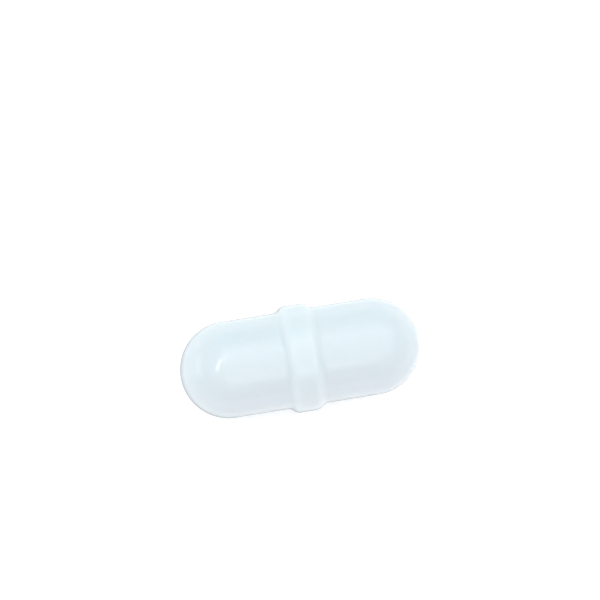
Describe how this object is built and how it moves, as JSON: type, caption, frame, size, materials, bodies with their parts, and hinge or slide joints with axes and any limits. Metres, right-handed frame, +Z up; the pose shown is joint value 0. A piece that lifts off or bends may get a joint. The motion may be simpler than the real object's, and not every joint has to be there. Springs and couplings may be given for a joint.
{
  "type": "magnetic stir bar",
  "caption": "Capsule-shaped magnetic stir bar: a bar magnet sealed in a white PTFE jacket with round ends and a raised pivot ring round its middle.",
  "frame": {"origin": "the lowest point of the pivot ring, under the middle of the bar, where it turns on a vessel's floor", "axes": "+X along the bar, +Y level and across it, +Z up, the axis that the bar spins about in use"},
  "size_m": [0.02, 0.0088, 0.0089],
  "materials": {
    "white_ptfe": "waxy satin, faintly translucent, as moulded",
    "ground_alnico": "centreless ground"
  },
  "bodies": {
    "root": {"jacket": "white_ptfe", "bar_magnet": "ground_alnico"}
  },
  "joints": []
}
